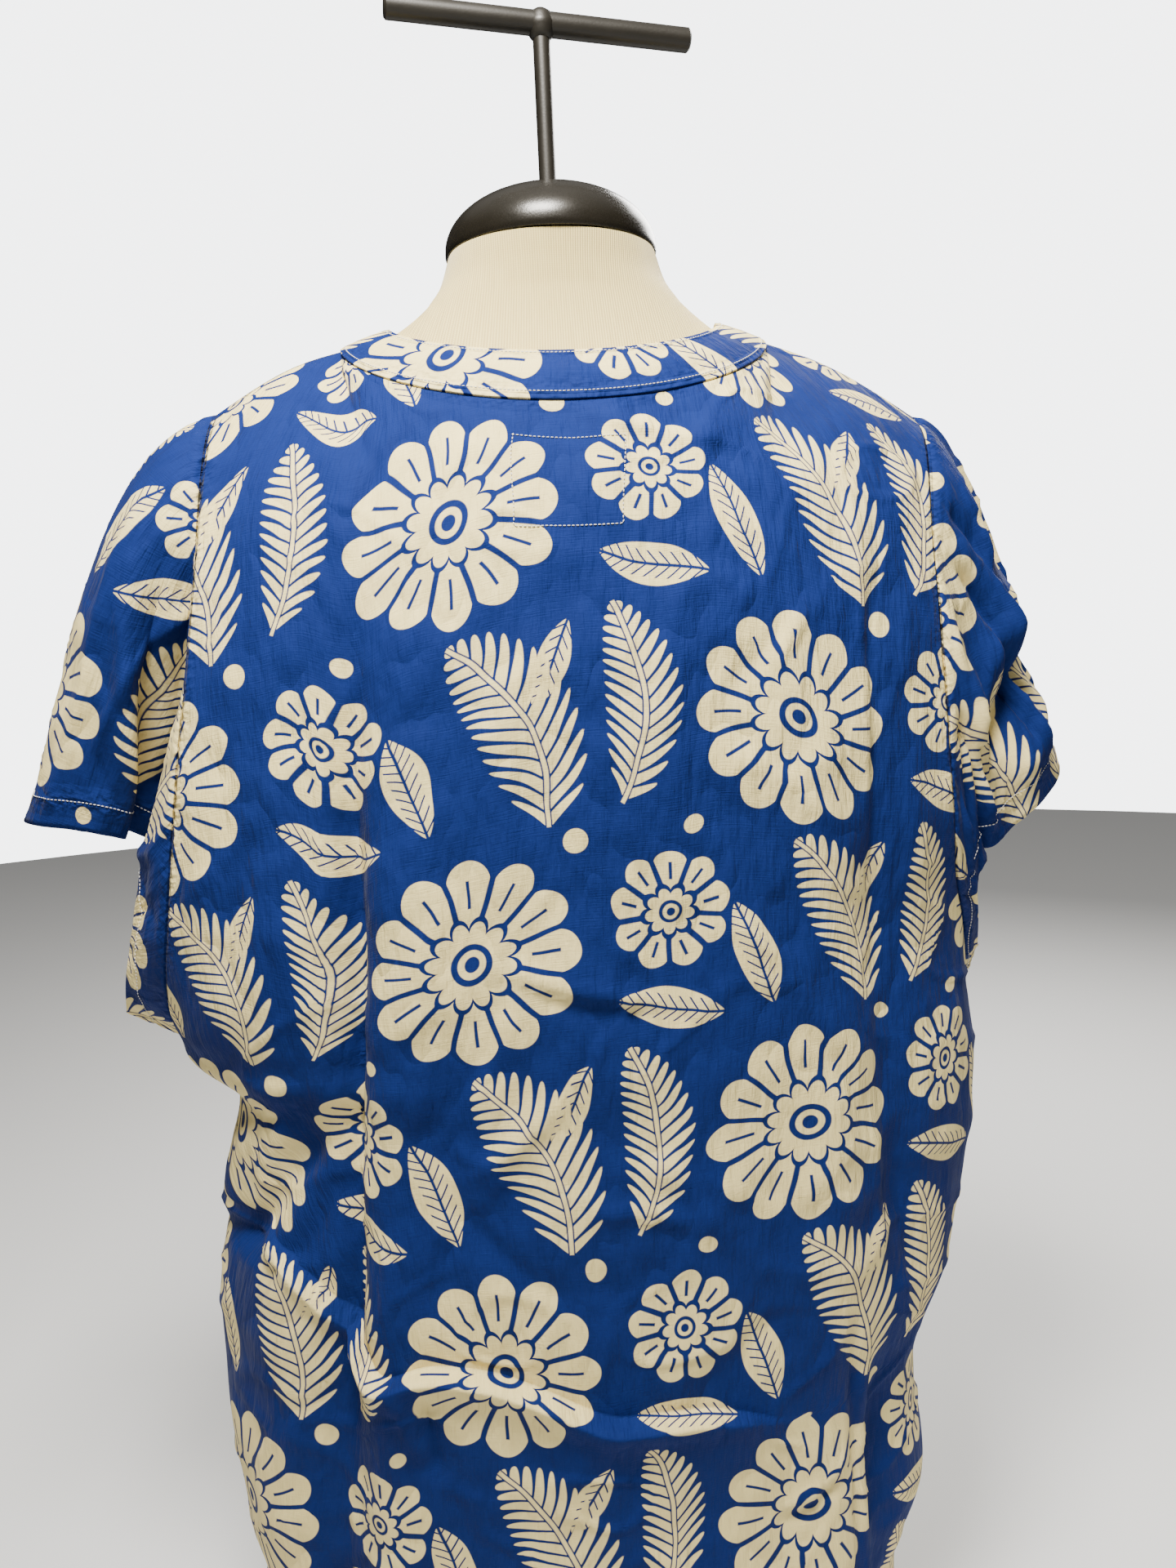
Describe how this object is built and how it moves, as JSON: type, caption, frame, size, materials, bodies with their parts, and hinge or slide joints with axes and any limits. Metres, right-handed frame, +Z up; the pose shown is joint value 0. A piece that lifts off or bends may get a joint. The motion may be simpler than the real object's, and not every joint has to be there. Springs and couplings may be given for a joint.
{
  "type": "tunic top on a limbless dress form",
  "caption": "Wide drop-shoulder tunic top with a neck band, elbow-length sleeves and a shirt-tail hem, on a limbless dress form with neck cap and T hanger.",
  "frame": {"origin": "middle of the part's box, on the form's flat base", "axes": "+Z up the form; the garment's front faces -Y and its back +Y, the wearer's left is +X"},
  "size_m": [0.6252, 0.2694, 1.054],
  "materials": {
    "printed_cotton": "matt, softly crinkled",
    "jersey": "matt, fine rib",
    "cap_metal": "satin",
    "hanger_metal": "satin"
  },
  "bodies": {
    "root": {"back_panel": "printed_cotton", "front_panel": "printed_cotton", "sleeve_left": "printed_cotton", "sleeve_right": "printed_cotton", "neck_band": "printed_cotton", "torso_form": "jersey", "neck_cap": "cap_metal", "hanger_tee": "hanger_metal"}
  },
  "joints": []
}
